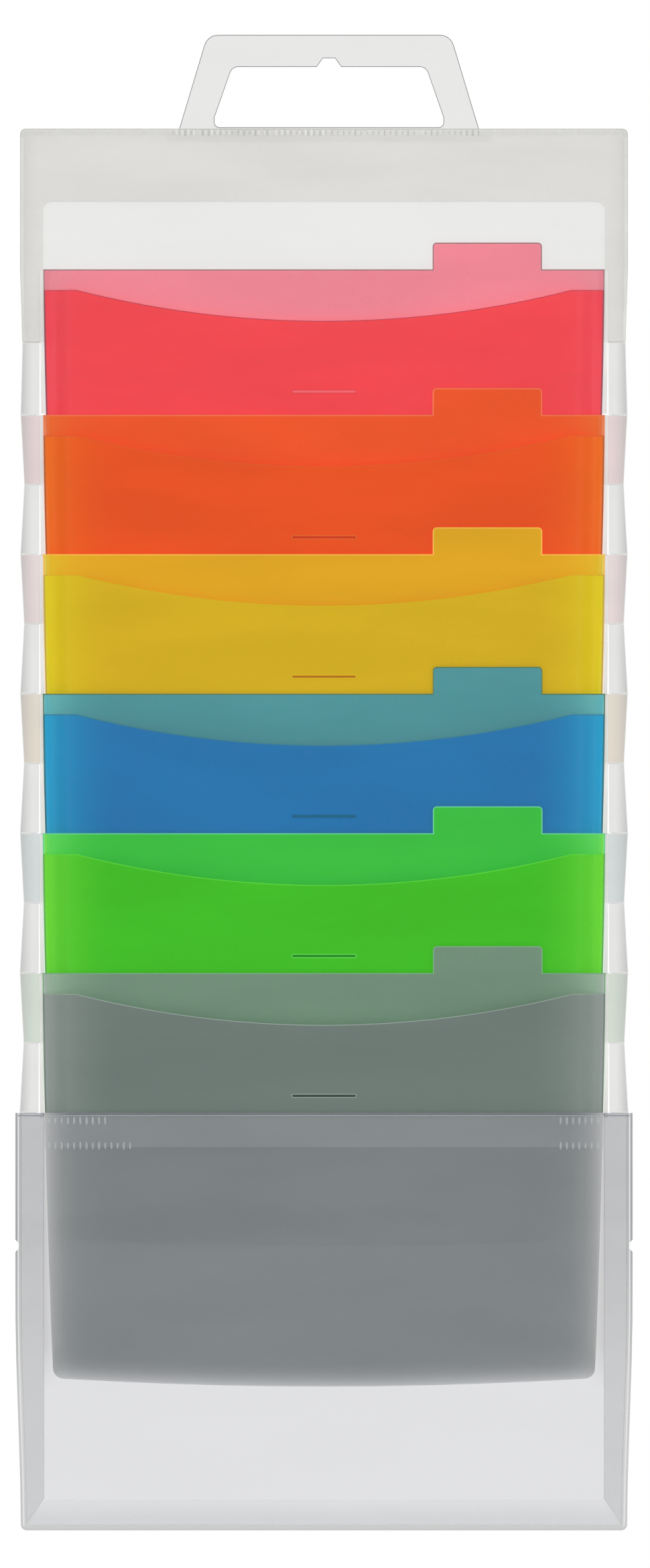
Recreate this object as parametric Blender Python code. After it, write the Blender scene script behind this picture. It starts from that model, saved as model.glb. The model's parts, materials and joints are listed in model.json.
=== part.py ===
"""A hanging document organiser of translucent plastic sheet: a back panel with a carry handle, six
coloured pockets that hang below each other on folding side gussets, and a clear front cover.

Metres, +Z up. The front faces -Y and the wall is on the +Y side. The origin is the middle of the
flat roof of the handle's hanging notch, halfway through the handle's thickness.
Heights are written as drops below the top edge of the back panel, and depths as steps towards -Y.
"""

import math

import bmesh
import bpy
from mathutils import Vector

# Sheet stock and the clearance between sheets that lie on each other
PANEL_SHEET = 0.0008
POCKET_SHEET = 0.0006
GUSSET_SHEET = 0.0005
HANDLE_SHEET = 0.0015
LAY_GAP = 0.0003
CREASE_GAP = 0.00015
CUT_OVERRUN = 0.002

# Widths, each from the one before it, so that all the sheets keep together
PANEL_HALF_WIDTH = 0.1814
GUSSET_SETBACK = 0.0004
GUSSET_HALF_WIDTH = PANEL_HALF_WIDTH - GUSSET_SETBACK
POCKET_MARGIN = 0.0135
POCKET_HALF_WIDTH = GUSSET_HALF_WIDTH - POCKET_MARGIN
LINK_MARGIN = 0.0023
LINK_INNER_HALF_WIDTH = POCKET_HALF_WIDTH + LINK_MARGIN
WINDOW_MARGIN = 0.0003
WINDOW_HALF_WIDTH = POCKET_HALF_WIDTH + WINDOW_MARGIN
NECK_MARGIN = 0.0075
PANEL_NECK_HALF_WIDTH = POCKET_HALF_WIDTH - NECK_MARGIN
SCOOP_MARGIN = 0.0201
SCOOP_HALF_WIDTH = POCKET_HALF_WIDTH - SCOOP_MARGIN
COVER_OVERHANG = 0.00255
COVER_HALF_WIDTH = GUSSET_HALF_WIDTH + COVER_OVERHANG
COVER_DRAW_IN = 0.00325

# Back panel, which is as tall as the cover
CASE_HEIGHT = 0.2482
PANEL_CORNER = 0.0032
PANEL_FOOT_CORNER = 0.008

# Gusset frame on the back panel
WINDOW_DROP = 0.0436
WINDOW_CORNER = 0.0056

# Handle, whose middle is a little to the right of the middle of the panels
HANDLE_SHIFT = 0.003
HANDLE_RISE = 0.056
HANDLE_BASE_HALF_WIDTH = 0.0897
HANDLE_TOP_HALF_WIDTH = 0.0726
HANDLE_CORNER = 0.0085
HANDLE_BAR = 0.0192
GRIP_FLOOR_RISE = 0.0008
GRIP_SIDE_RISE = 0.0068
GRIP_BASE_HALF_WIDTH = 0.0683
GRIP_TOP_HALF_WIDTH = 0.0578
GRIP_TOP_CORNER = 0.005
GRIP_BASE_CORNER = 0.003
NOTCH_DEPTH = 0.0052
NOTCH_MOUTH_HALF_WIDTH = 0.0074
NOTCH_ROOF_HALF_WIDTH = 0.0036
FOOT_DEPTH = 0.008
FOOT_HALF_WIDTH = 0.097
FOOT_SHOULDER_DROP = 0.0008
FOOT_CORNER = 0.002

# Stages: how far below the panel's top each pocket's upper edge hangs
POCKET_COUNT = 6
FIRST_POCKET_DROP = 0.084
FIRST_PITCH = 0.087
PITCH = 0.0831
STAGE_DEPTH = 0.0072

# Pocket
POCKET_HEIGHT = 0.241
POCKET_DRAW_IN = 0.0062
DRAW_IN_POWER = 1.4
POCKET_BOW = 0.005
POCKET_FOOT_CORNER = 0.006
POCKET_ROOM = 0.0048
TAB_LEFT = 0.0648
TAB_WIDTH = 0.0653
TAB_HEIGHT = 0.016
TAB_CORNER = 0.0024
FRONT_DROP = 0.0124
FRONT_INSET = 0.0003
SCOOP_DEPTH = 0.0184
SEAM_WIDTH = 0.004
SWELL_WIDTH = 0.012
SLOT_DROP = 0.073
SLOT_LENGTH = 0.0384
SLOT_HEIGHT = 0.002
SLOT_END_SHARE = 0.45

# Gusset panels and links
CREASE_DRAW_IN = 0.0022
FIRST_CREASE_DRAW_IN = 0.001
WELD_LAP = 0.0035

# Front cover
COVER_ROLL_WIDTH = 0.0032
COVER_ROLL_DEPTH = 0.0018
COVER_CORNER = 0.0035
COVER_STRAIGHT_SHARE = 0.45
COVER_NOTCH_DROP = 0.079
COVER_NOTCH_DEPTH = 0.002
COVER_NOTCH_HALF_HEIGHT = 0.0037
COVER_NOTCH_FLOOR_HALF_HEIGHT = 0.0017
FLANGE_WIDTH = 0.0139
FLANGE_FOOT_WIDTH = 0.0155
HEM_HEIGHT = 0.0202

# Facets
CORNER_STEPS = 5
EDGE_STEPS = 10
SCOOP_STEPS = 18
SWELL_STEPS = 5
FALL_STEPS = 3
ROLL_STEPS = 5
SHARP_ANGLE = math.radians(40)

COLOURS = {
    "pink": (0.87, 0.10, 0.14),
    "orange": (0.80, 0.10, 0.02),
    "yellow": (0.66, 0.45, 0.02),
    "blue": (0.02, 0.19, 0.46),
    "green": (0.06, 0.55, 0.03),
    "grey": (0.16, 0.19, 0.17),
    "clear": (0.80, 0.81, 0.79),
}
POCKET_COLOURS = ("pink", "orange", "yellow", "blue", "green", "grey")

# Frame of the part, from the sizes above
PANEL_TOP = -(HANDLE_RISE - HANDLE_BAR + NOTCH_DEPTH)
MIDDLE = -HANDLE_SHIFT
PANEL_FRONT = HANDLE_SHEET / 2 + LAY_GAP
WALL = PANEL_FRONT + PANEL_SHEET
FRAME_REAR = -PANEL_FRONT
FIRST_POCKET_REAR = FRAME_REAR - GUSSET_SHEET - LAY_GAP


def height(drop):
    """World height of a place that lies this far below the top edge of the back panel."""
    return PANEL_TOP - drop


def pocket_drop(stage):
    """Drop of the upper edge of pocket 1 to 6, and of the cover as stage 7."""
    if stage == 1:
        return FIRST_POCKET_DROP
    return FIRST_POCKET_DROP + FIRST_PITCH + (stage - 2) * PITCH


def pocket_rear(stage):
    """Depth of the rear face of a pocket's back sheet, and of the cover's front wall as stage 7."""
    return FIRST_POCKET_REAR - (stage - 1) * STAGE_DEPTH


def crease_drop(stage):
    """Drop of the rearward crease under a pocket's gusset panel, halfway to the next pocket."""
    return (pocket_drop(stage) + pocket_drop(stage + 1)) / 2


def crease_half_width(stage):
    """Gussets are drawn in at the rearward creases, so that the edge of the object is scalloped."""
    return GUSSET_HALF_WIDTH - (FIRST_CREASE_DRAW_IN if stage == 1 else CREASE_DRAW_IN)


def upper_axis(stage):
    """(y, z) of the fold between a pocket's gusset panel and the link below it: on their front faces."""
    return Vector((pocket_rear(stage) + LAY_GAP, height(crease_drop(stage))))


def lower_axis(stage):
    """(y, z) of the fold between a link and the gusset panel of the next pocket: on their rear faces."""
    return Vector((pocket_rear(stage + 1) + LAY_GAP + GUSSET_SHEET, height(pocket_drop(stage + 1))))


def sheet_material(colour):
    name = f"{colour}_sheet"
    if name in bpy.data.materials:
        return bpy.data.materials[name]
    material = bpy.data.materials.new(name)
    material.use_nodes = True
    shader = material.node_tree.nodes["Principled BSDF"]
    shader.inputs["Base Color"].default_value = (*COLOURS[colour], 1)
    shader.inputs["Roughness"].default_value = 0.4
    shader.inputs["Metallic"].default_value = 0
    return material


def add_object(name, mesh_builder, colour, parent=None):
    """Makes a mesh object from a bmesh in world places. A moving one hangs on the empty of its joint."""
    mesh = bpy.data.meshes.new(name)
    bmesh.ops.recalc_face_normals(mesh_builder, faces=mesh_builder.faces)
    mesh_builder.to_mesh(mesh)
    mesh_builder.free()
    mesh.materials.append(sheet_material(colour))
    piece = bpy.data.objects.new(name, mesh)
    bpy.context.scene.collection.objects.link(piece)
    if parent:
        piece.parent = parent
        piece.location = -world_place(parent)
    return piece


def world_place(piece):
    place = Vector(piece.location)
    while piece.parent:
        piece = piece.parent
        place += piece.location
    return place


def fold_empty(name, axis, parent):
    """An empty on a fold line. Turned about X, it folds all that hangs on it."""
    empty = bpy.data.objects.new(name, None)
    empty.empty_display_type = "PLAIN_AXES"
    empty.empty_display_size = POCKET_MARGIN
    bpy.context.scene.collection.objects.link(empty)
    place = Vector((MIDDLE, axis[0], axis[1]))
    if parent:
        empty.parent = parent
        place -= world_place(parent)
    empty.location = place
    return empty


def rounded(corners):
    """Outline through (x, z, radius) corners, with an arc of that radius at each."""
    points = []
    for index, (x, z, radius) in enumerate(corners):
        corner = Vector((x, z))
        if not radius:
            points.append(corner)
            continue
        before = (Vector(corners[index - 1][:2]) - corner).normalized()
        after = (Vector(corners[(index + 1) % len(corners)][:2]) - corner).normalized()
        half_angle = before.angle(after) / 2
        bisector = (before + after).normalized()
        centre = corner + bisector * (radius / math.sin(half_angle))
        start = corner + before * (radius / math.tan(half_angle)) - centre
        end = corner + after * (radius / math.tan(half_angle)) - centre
        turn = start.angle_signed(end)
        for step in range(CORNER_STEPS + 1):
            angle = -turn * step / CORNER_STEPS
            arm = Vector((
                start.x * math.cos(angle) - start.y * math.sin(angle),
                start.x * math.sin(angle) + start.y * math.cos(angle),
            ))
            points.append(centre + arm)
    return points


def flat_sheet(name, outline, rear, thickness, colour, parent=None):
    """A flat sheet cut to an outline of (x, z) about the middle of the panels, its rear face at y = rear."""
    build = bmesh.new()
    face = build.faces.new([build.verts.new((MIDDLE + x, rear, z)) for x, z in outline])
    grown = bmesh.ops.extrude_face_region(build, geom=[face])
    moved = [item for item in grown["geom"] if isinstance(item, bmesh.types.BMVert)]
    bmesh.ops.translate(build, verts=moved, vec=(0, -thickness, 0))
    return add_object(name, build, colour, parent)


def prism_cutter(name, outline, rear, front):
    """A hidden cutter with an outline in (x, z), from y = rear to y = front."""
    cutter = flat_sheet(name, outline, rear, rear - front, "clear")
    cutter.hide_render = True
    cutter.display_type = "WIRE"
    return cutter


def cut(piece, cutter):
    boolean = piece.modifiers.new(cutter.name, "BOOLEAN")
    boolean.operation = "DIFFERENCE"
    boolean.object = cutter
    if piece.parent:
        cutter.parent = piece.parent
        cutter.location = piece.location


def smooth_step(value):
    value = min(max(value, 0), 1)
    return value * value * (3 - 2 * value)


def pocket_half_width(drop):
    """Half the width of a back sheet this far below its upper edge: drawn in towards the bottom."""
    return POCKET_HALF_WIDTH - POCKET_DRAW_IN * (drop / POCKET_HEIGHT) ** DRAW_IN_POWER


def pocket_bottom(x, half_width):
    """Drop of a pocket's lower edge at x: bowed down in the middle, with round corners."""
    edge = POCKET_HEIGHT + POCKET_BOW * (1 - (x / half_width) ** 2)
    into_corner = abs(x) - (half_width - POCKET_FOOT_CORNER)
    if into_corner > 0:
        edge -= POCKET_FOOT_CORNER - math.sqrt(max(POCKET_FOOT_CORNER**2 - into_corner**2, 0))
    return edge


def back_panel():
    neck = crease_drop(1) - CREASE_GAP
    outline = rounded([
        (-PANEL_HALF_WIDTH, height(0), PANEL_CORNER),
        (PANEL_HALF_WIDTH, height(0), PANEL_CORNER),
        (PANEL_HALF_WIDTH, height(pocket_drop(1)), 0),
        (crease_half_width(1), height(neck), 0),
        (PANEL_NECK_HALF_WIDTH, height(neck), 0),
        (PANEL_NECK_HALF_WIDTH, height(CASE_HEIGHT), PANEL_FOOT_CORNER),
        (-PANEL_NECK_HALF_WIDTH, height(CASE_HEIGHT), PANEL_FOOT_CORNER),
        (-PANEL_NECK_HALF_WIDTH, height(neck), 0),
        (-crease_half_width(1), height(neck), 0),
        (-PANEL_HALF_WIDTH, height(pocket_drop(1)), 0),
    ])
    flat_sheet("back_panel", outline, WALL, PANEL_SHEET, "clear")


def gusset_frame():
    """The sheet on the back panel: a top band and two legs, which pocket 1 is welded to."""
    foot = height(crease_drop(1) - CREASE_GAP)
    lap_half_width = POCKET_HALF_WIDTH - WELD_LAP
    lap_top = height(pocket_drop(1) + LAY_GAP)
    outline = rounded([
        (-PANEL_HALF_WIDTH, height(0), PANEL_CORNER),
        (PANEL_HALF_WIDTH, height(0), PANEL_CORNER),
        (PANEL_HALF_WIDTH, height(pocket_drop(1)), 0),
        (crease_half_width(1), foot, 0),
        (lap_half_width, foot, 0),
        (lap_half_width, lap_top, 0),
        (WINDOW_HALF_WIDTH, lap_top, 0),
        (WINDOW_HALF_WIDTH, height(WINDOW_DROP), WINDOW_CORNER),
        (-WINDOW_HALF_WIDTH, height(WINDOW_DROP), WINDOW_CORNER),
        (-WINDOW_HALF_WIDTH, lap_top, 0),
        (-lap_half_width, lap_top, 0),
        (-lap_half_width, foot, 0),
        (-crease_half_width(1), foot, 0),
        (-PANEL_HALF_WIDTH, height(pocket_drop(1)), 0),
    ])
    flat_sheet("gusset_frame", outline, FRAME_REAR, GUSSET_SHEET, "clear")


def handle():
    """Die-cut handle. Its foot lies between the back panel and the gusset frame."""
    shoulder = height(FOOT_SHOULDER_DROP)
    outer = rounded([
        (HANDLE_SHIFT - HANDLE_TOP_HALF_WIDTH, height(-HANDLE_RISE), HANDLE_CORNER),
        (HANDLE_SHIFT + HANDLE_TOP_HALF_WIDTH, height(-HANDLE_RISE), HANDLE_CORNER),
        (HANDLE_SHIFT + HANDLE_BASE_HALF_WIDTH, shoulder, 0),
        (HANDLE_SHIFT + FOOT_HALF_WIDTH, shoulder, FOOT_CORNER),
        (HANDLE_SHIFT + FOOT_HALF_WIDTH, height(FOOT_DEPTH), FOOT_CORNER),
        (HANDLE_SHIFT - FOOT_HALF_WIDTH, height(FOOT_DEPTH), FOOT_CORNER),
        (HANDLE_SHIFT - FOOT_HALF_WIDTH, shoulder, FOOT_CORNER),
        (HANDLE_SHIFT - HANDLE_BASE_HALF_WIDTH, shoulder, 0),
    ])
    grip_top = height(HANDLE_BAR - HANDLE_RISE)
    grip_side = height(-GRIP_SIDE_RISE)
    grip_floor = height(-GRIP_FLOOR_RISE)
    grip = rounded([
        (HANDLE_SHIFT - GRIP_TOP_HALF_WIDTH, grip_top, GRIP_TOP_CORNER),
        (HANDLE_SHIFT - NOTCH_MOUTH_HALF_WIDTH, grip_top, 0),
        (HANDLE_SHIFT - NOTCH_ROOF_HALF_WIDTH, grip_top + NOTCH_DEPTH, 0),
        (HANDLE_SHIFT + NOTCH_ROOF_HALF_WIDTH, grip_top + NOTCH_DEPTH, 0),
        (HANDLE_SHIFT + NOTCH_MOUTH_HALF_WIDTH, grip_top, 0),
        (HANDLE_SHIFT + GRIP_TOP_HALF_WIDTH, grip_top, GRIP_TOP_CORNER),
        (HANDLE_SHIFT + GRIP_BASE_HALF_WIDTH, grip_side, 0),
        (HANDLE_SHIFT + GRIP_BASE_HALF_WIDTH, grip_floor, GRIP_BASE_CORNER),
        (HANDLE_SHIFT - GRIP_BASE_HALF_WIDTH, grip_floor, GRIP_BASE_CORNER),
        (HANDLE_SHIFT - GRIP_BASE_HALF_WIDTH, grip_side, 0),
    ])
    rear = HANDLE_SHEET / 2
    piece = flat_sheet("handle", outer, rear, HANDLE_SHEET, "clear")
    cut(piece, prism_cutter("grip_cutter", grip, rear + CUT_OVERRUN, -rear - CUT_OVERRUN))


def pocket_back(stage, parent):
    """Back sheet of a pocket, with its index tab on the upper edge."""
    top = height(pocket_drop(stage))
    tab_right = TAB_LEFT + TAB_WIDTH
    outline = [Vector((-POCKET_HALF_WIDTH, top))]
    outline += rounded([
        (TAB_LEFT, top, 0),
        (TAB_LEFT, top + TAB_HEIGHT, TAB_CORNER),
        (tab_right, top + TAB_HEIGHT, TAB_CORNER),
        (tab_right, top, 0),
    ])
    outline.append(Vector((POCKET_HALF_WIDTH, top)))
    side_end = POCKET_HEIGHT - POCKET_FOOT_CORNER
    drops = [side_end * step / EDGE_STEPS for step in range(1, EDGE_STEPS)]
    outline += [Vector((pocket_half_width(drop), top - drop)) for drop in drops]
    foot_half_width = pocket_half_width(POCKET_HEIGHT)
    foot = []
    for step in range(CORNER_STEPS + 1):
        angle = math.pi / 2 * step / CORNER_STEPS
        foot.append(foot_half_width - POCKET_FOOT_CORNER * (1 - math.cos(angle)))
    inner = foot_half_width - POCKET_FOOT_CORNER
    foot += [inner * (1 - 2 * step / EDGE_STEPS) for step in range(1, EDGE_STEPS)]
    foot += [-x for x in foot[CORNER_STEPS::-1]]
    outline += [Vector((x, top - pocket_bottom(x, foot_half_width))) for x in foot]
    outline += [Vector((-pocket_half_width(drop), top - drop)) for drop in reversed(drops)]
    colour = POCKET_COLOURS[stage - 1]
    flat_sheet(f"pocket_{stage}_back", outline, pocket_rear(stage), POCKET_SHEET, colour, parent)


def front_columns(half_width):
    """x of each column of the front sheet's grid: close together over the swell at each side."""
    side = [half_width - SEAM_WIDTH - SWELL_WIDTH * step / SWELL_STEPS for step in range(SWELL_STEPS + 1)]
    scoop = [SCOOP_HALF_WIDTH * (1 - 2 * step / SCOOP_STEPS) for step in range(SCOOP_STEPS + 1)]
    right = [half_width] + side
    middle = [x for x in scoop if abs(x) < side[-1] - LAY_GAP]
    return right + middle + [-x for x in reversed(right)]


def scoop_drop(x):
    """Drop of the front sheet's upper edge below the back sheet's: flat at the sides, then an arc."""
    if abs(x) >= SCOOP_HALF_WIDTH:
        return FRONT_DROP
    radius = (SCOOP_HALF_WIDTH**2 + SCOOP_DEPTH**2) / (2 * SCOOP_DEPTH)
    return FRONT_DROP + math.sqrt(radius**2 - x**2) - (radius - SCOOP_DEPTH)


def front_depth(side_distance, foot_distance):
    """How far the front sheet's rear face stands off the back sheet: 0 in the seam, then swelling."""
    across = smooth_step((side_distance - SEAM_WIDTH) / SWELL_WIDTH)
    down = smooth_step((foot_distance - SEAM_WIDTH) / SWELL_WIDTH)
    return LAY_GAP + (POCKET_ROOM - LAY_GAP) * across * down


def pocket_front(stage, parent):
    """Front sheet: seamed to the back sheet at its sides and bottom, and swelling forward between."""
    top = height(pocket_drop(stage))
    half_width = POCKET_HALF_WIDTH - FRONT_INSET
    foot_distances = [SEAM_WIDTH + SWELL_WIDTH * step / SWELL_STEPS for step in range(SWELL_STEPS, -1, -1)]
    foot_distances.append(0)
    rear_face = pocket_rear(stage) - POCKET_SHEET
    grid = []
    for column in front_columns(half_width):
        share = column / half_width
        upper = scoop_drop(column)
        lower = pocket_bottom(column, half_width) - FRONT_INSET
        fall_end = lower - foot_distances[0]
        drops = [upper + (fall_end - upper) * step / FALL_STEPS for step in range(FALL_STEPS)]
        drops += [lower - distance for distance in foot_distances]
        points = []
        for drop in drops:
            row_half_width = pocket_half_width(drop) - FRONT_INSET
            x = share * row_half_width
            stand_off = front_depth(row_half_width - abs(x), lower - drop)
            points.append(Vector((MIDDLE + x, rear_face - stand_off, top - drop)))
        grid.append(points)
    build = bmesh.new()
    forward = Vector((0, -POCKET_SHEET, 0))
    rear = [[build.verts.new(point) for point in points] for points in grid]
    front = [[build.verts.new(point + forward) for point in points] for points in grid]
    columns, rows = len(grid), len(grid[0])
    for skin in (rear, front):
        for i in range(columns - 1):
            for j in range(rows - 1):
                build.faces.new((skin[i][j], skin[i + 1][j], skin[i + 1][j + 1], skin[i][j + 1]))
    rim = [(i, 0) for i in range(columns)] + [(columns - 1, j) for j in range(1, rows)]
    rim += [(i, rows - 1) for i in range(columns - 2, -1, -1)] + [(0, j) for j in range(rows - 2, 0, -1)]
    for index, (i, j) in enumerate(rim):
        k, m = rim[(index + 1) % len(rim)]
        build.faces.new((rear[i][j], rear[k][m], front[k][m], front[i][j]))
    piece = add_object(f"pocket_{stage}_front", build, POCKET_COLOURS[stage - 1], parent)
    piece.data.shade_smooth()
    piece.data.set_sharp_from_angle(angle=SHARP_ANGLE)
    slot_end = SLOT_LENGTH / 2
    slot_top = top - SLOT_DROP + SLOT_HEIGHT / 2
    slot_foot = slot_top - SLOT_HEIGHT
    end_radius = SLOT_HEIGHT * SLOT_END_SHARE
    slot = rounded([
        (-slot_end, slot_top, end_radius),
        (slot_end, slot_top, end_radius),
        (slot_end, slot_foot, end_radius),
        (-slot_end, slot_foot, end_radius),
    ])
    sheet_rear = rear_face - POCKET_ROOM
    cutter_front = sheet_rear - POCKET_SHEET - CUT_OVERRUN
    cut(piece, prism_cutter(f"slot_cutter_{stage}", slot, sheet_rear + CUT_OVERRUN, cutter_front))


def gusset_panels(stage, parent):
    """The side panels that pocket 2 to 6 is welded to, from its upper edge to the crease below."""
    top = height(pocket_drop(stage) + CREASE_GAP)
    foot = height(crease_drop(stage) - CREASE_GAP)
    lap = POCKET_HALF_WIDTH - WELD_LAP
    for side, name in ((-1, "left"), (1, "right")):
        outline = [
            Vector((side * lap, top)),
            Vector((side * GUSSET_HALF_WIDTH, top)),
            Vector((side * crease_half_width(stage), foot)),
            Vector((side * lap, foot)),
        ]
        rear = pocket_rear(stage) + LAY_GAP + GUSSET_SHEET
        flat_sheet(f"pocket_{stage}_gusset_{name}", outline, rear, GUSSET_SHEET, "clear", parent)


def gusset_links(stage, parent):
    """The two side panels that swing between one pocket and the next. Each has its upper fold on its
    front face and its lower fold on its rear face, so that it can fold flat between its neighbours."""
    upper, lower = upper_axis(stage), lower_axis(stage)
    span = lower - upper
    length = math.sqrt(span.length_squared - GUSSET_SHEET**2)
    lean = math.atan2(-span.x, -span.y) + math.asin(GUSSET_SHEET / span.length)
    along = Vector((0, -math.sin(lean), -math.cos(lean)))
    rearward = Vector((0, math.cos(lean), -math.sin(lean)))
    start = Vector((MIDDLE, upper.x, upper.y)) + along * CREASE_GAP
    end = Vector((MIDDLE, upper.x, upper.y)) + along * (length - CREASE_GAP)
    for side, name in ((-1, "left"), (1, "right")):
        build = bmesh.new()
        corners = (
            start + Vector((side * LINK_INNER_HALF_WIDTH, 0, 0)),
            start + Vector((side * crease_half_width(stage), 0, 0)),
            end + Vector((side * GUSSET_HALF_WIDTH, 0, 0)),
            end + Vector((side * LINK_INNER_HALF_WIDTH, 0, 0)),
        )
        face = build.faces.new([build.verts.new(corner) for corner in corners])
        grown = bmesh.ops.extrude_face_region(build, geom=[face])
        moved = [item for item in grown["geom"] if isinstance(item, bmesh.types.BMVert)]
        bmesh.ops.translate(build, verts=moved, vec=rearward * GUSSET_SHEET)
        add_object(f"gusset_link_{stage}_{name}", build, "clear", parent)


def cover_half_width(drop):
    """Half the width of the cover: straight at first, then drawn in towards its bottom."""
    share = (drop / CASE_HEIGHT - COVER_STRAIGHT_SHARE) / (1 - COVER_STRAIGHT_SHARE)
    return COVER_HALF_WIDTH - COVER_DRAW_IN * smooth_step(share)


def cover_rim():
    """(place, outward) pairs along the cover's left side, bottom and right side, in (x, drop)."""
    side_end = CASE_HEIGHT - COVER_CORNER
    corner_x = cover_half_width(side_end) - COVER_CORNER
    left = []
    for step in range(EDGE_STEPS + 1):
        drop = side_end * step / EDGE_STEPS
        left.append((Vector((-cover_half_width(drop), drop)), Vector((-1, 0))))
    for step in range(1, CORNER_STEPS + 1):
        angle = math.pi / 2 * step / CORNER_STEPS
        outward = Vector((-math.cos(angle), math.sin(angle)))
        left.append((Vector((-corner_x, side_end)) + outward * COVER_CORNER, outward))
    right = [(Vector((-place.x, place.y)), Vector((-out.x, out.y))) for place, out in reversed(left)]
    return left + right


def front_cover(parent):
    """The clear front wall, with its side and bottom edges rolled back."""
    top = height(pocket_drop(POCKET_COUNT + 1))
    front_face = pocket_rear(POCKET_COUNT + 1) - PANEL_SHEET
    rim = cover_rim()
    build = bmesh.new()

    def skin(inset):
        """Rings from the edge of the flat wall, round the roll, on one face of the sheet."""
        rings = []
        for step in range(ROLL_STEPS + 1):
            angle = math.pi / 2 * step / ROLL_STEPS
            reach = (COVER_ROLL_WIDTH - inset) * math.sin(angle) - COVER_ROLL_WIDTH
            y = front_face + COVER_ROLL_DEPTH - (COVER_ROLL_DEPTH - inset) * math.cos(angle)
            ring = []
            for place, outward in rim:
                spot = place + outward * reach
                ring.append(build.verts.new((MIDDLE + spot.x, y, top - max(spot.y, 0))))
            rings.append(ring)
        build.faces.new(rings[0])
        for near, far in zip(rings, rings[1:]):
            for i in range(len(rim) - 1):
                build.faces.new((near[i], near[i + 1], far[i + 1], far[i]))
        return rings

    outer = skin(0)
    inner = skin(PANEL_SHEET)
    for i in range(len(rim) - 1):
        build.faces.new((outer[-1][i], outer[-1][i + 1], inner[-1][i + 1], inner[-1][i]))
    for end in (0, -1):
        for step in range(ROLL_STEPS):
            build.faces.new((outer[step][end], outer[step + 1][end], inner[step + 1][end], inner[step][end]))
    build.faces.new((outer[0][0], outer[0][-1], inner[0][-1], inner[0][0]))
    piece = add_object("front_cover", build, "clear", parent)
    piece.data.shade_smooth()
    piece.data.set_sharp_from_angle(angle=SHARP_ANGLE)
    floor_x = cover_half_width(COVER_NOTCH_DROP) - COVER_NOTCH_DEPTH
    mouth_x = floor_x + COVER_NOTCH_DEPTH + CUT_OVERRUN
    spread = COVER_NOTCH_HALF_HEIGHT - COVER_NOTCH_FLOOR_HALF_HEIGHT
    mouth_half_height = COVER_NOTCH_HALF_HEIGHT + spread * CUT_OVERRUN / COVER_NOTCH_DEPTH
    middle = top - COVER_NOTCH_DROP
    for side, name in ((-1, "left"), (1, "right")):
        notch = [
            Vector((side * floor_x, middle + COVER_NOTCH_FLOOR_HALF_HEIGHT)),
            Vector((side * mouth_x, middle + mouth_half_height)),
            Vector((side * mouth_x, middle - mouth_half_height)),
            Vector((side * floor_x, middle - COVER_NOTCH_FLOOR_HALF_HEIGHT)),
        ]
        rear = front_face + COVER_ROLL_DEPTH + CUT_OVERRUN
        cut(piece, prism_cutter(f"cover_notch_cutter_{name}", notch, rear, front_face - CUT_OVERRUN))


def cover_gusset(parent):
    """The flange inside the cover: two sides and a bottom band, mitred where they meet."""
    top = height(pocket_drop(POCKET_COUNT + 1) + CREASE_GAP)
    rear = pocket_rear(POCKET_COUNT + 1) + LAY_GAP + GUSSET_SHEET
    foot_drop = CASE_HEIGHT - COVER_ROLL_WIDTH
    foot = height(pocket_drop(POCKET_COUNT + 1) + foot_drop)
    inner = COVER_HALF_WIDTH - COVER_ROLL_WIDTH - FLANGE_WIDTH
    outer_foot = cover_half_width(foot_drop) - COVER_ROLL_WIDTH
    mitre_top = foot + FLANGE_FOOT_WIDTH
    seam = CREASE_GAP / math.sin(math.atan2(FLANGE_FOOT_WIDTH, outer_foot - inner))
    drops = [foot_drop * step / EDGE_STEPS for step in range(EDGE_STEPS)]
    edge = [(cover_half_width(drop) - COVER_ROLL_WIDTH, top - drop) for drop in drops]
    edge.append((outer_foot, foot + seam))
    for side, name in ((-1, "left"), (1, "right")):
        outline = [Vector((side * inner, top))]
        outline += [Vector((side * x, z)) for x, z in edge]
        outline.append(Vector((side * inner, mitre_top + seam)))
        flat_sheet(f"cover_gusset_{name}", outline, rear, GUSSET_SHEET, "clear", parent)
    outline = [
        Vector((-outer_foot, foot - seam)),
        Vector((-inner, mitre_top - seam)),
        Vector((inner, mitre_top - seam)),
        Vector((outer_foot, foot - seam)),
    ]
    flat_sheet("cover_gusset_bottom", outline, rear, GUSSET_SHEET, "clear", parent)


def cover_hem(parent):
    """The strip that doubles the cover's upper edge, between the flange's sides."""
    top = height(pocket_drop(POCKET_COUNT + 1) + CREASE_GAP)
    half_width = COVER_HALF_WIDTH - COVER_ROLL_WIDTH - FLANGE_WIDTH - LAY_GAP
    outline = [
        Vector((-half_width, top)),
        Vector((half_width, top)),
        Vector((half_width, top - HEM_HEIGHT)),
        Vector((-half_width, top - HEM_HEIGHT)),
    ]
    rear = pocket_rear(POCKET_COUNT + 1) + LAY_GAP + GUSSET_SHEET
    flat_sheet("cover_hem", outline, rear, GUSSET_SHEET, "clear", parent)


def main():
    for old in list(bpy.data.objects):
        bpy.data.objects.remove(old, do_unlink=True)
    back_panel()
    gusset_frame()
    handle()
    carrier = None
    for stage in range(1, POCKET_COUNT + 1):
        pocket_back(stage, carrier)
        pocket_front(stage, carrier)
        if stage > 1:
            gusset_panels(stage, carrier)
        link = fold_empty(f"link_{stage}_fold", upper_axis(stage), carrier)
        gusset_links(stage, link)
        carrier = fold_empty(f"stage_{stage + 1}_fold", lower_axis(stage), link)
    front_cover(carrier)
    cover_gusset(carrier)
    cover_hem(carrier)


main()
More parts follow.
